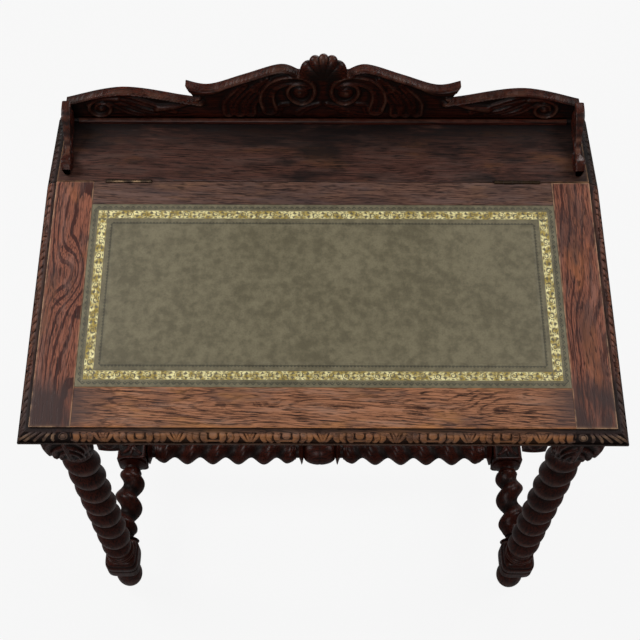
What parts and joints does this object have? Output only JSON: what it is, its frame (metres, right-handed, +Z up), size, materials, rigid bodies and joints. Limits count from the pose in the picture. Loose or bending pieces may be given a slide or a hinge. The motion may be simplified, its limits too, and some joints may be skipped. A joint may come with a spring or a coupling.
{
  "type": "slope-lid writing table",
  "caption": "Carved oak writing table with a sloping hinged lid set with leather, a storage well, a carved gallery and barley-twist legs joined by an H-shaped stretcher.",
  "frame": {"origin": "on the floor, in the middle of the table's plan", "axes": "+X to the right seen from the front, +Y to the back, +Z up"},
  "size_m": [0.8566, 0.5506, 0.9589],
  "materials": {
    "oak_dark": "dark stained and waxed oak, carved",
    "oak_top": "worn, waxed red-brown oak",
    "oak_inside": "bare oak",
    "leather": "olive green skiver with a gilt tooled border",
    "brass": "aged"
  },
  "bodies": {
    "case": {"leg_front_left": "oak_dark", "leg_front_right": "oak_dark", "leg_rear_left": "oak_dark", "leg_rear_right": "oak_dark", "foot_front_left": "oak_dark", "foot_front_right": "oak_dark", "foot_rear_left": "oak_dark", "foot_rear_right": "oak_dark", "side_stretcher_left": "oak_dark", "side_stretcher_right": "oak_dark", "cross_stretcher": "oak_dark", "front_rail": "oak_dark", "back_rail": "oak_dark", "side_rail_left": "oak_dark", "side_rail_right": "oak_dark", "bottom_board": "oak_inside", "corner_bracket_left": "oak_dark", "corner_bracket_right": "oak_dark", "shelf": "oak_top", "crest_board": "oak_dark", "crest_bead": "oak_dark", "crest_shell": "oak_dark", "gallery_bracket_left": "oak_dark", "gallery_bracket_right": "oak_dark", "hinge_fixed_leaf_left": "brass", "hinge_fixed_leaf_right": "brass", "hinge_pin_left": "brass", "hinge_pin_right": "brass"},
    "lid": {"lid_stile_left": "oak_top", "lid_stile_right": "oak_top", "lid_hinge_rail": "oak_top", "lid_front_rail": "oak_top", "lid_panel": "oak_inside", "lid_leather": "leather", "hinge_lid_leaf_left": "brass", "hinge_lid_leaf_right": "brass"}
  },
  "joints": [
    {"name": "lid_hinge", "type": "hinge", "parent": "case", "child": "lid", "pos_m": [0, 0.13129, 0.82127], "axis": [-1, 0, 0], "range_deg": [0, 120]}
  ]
}
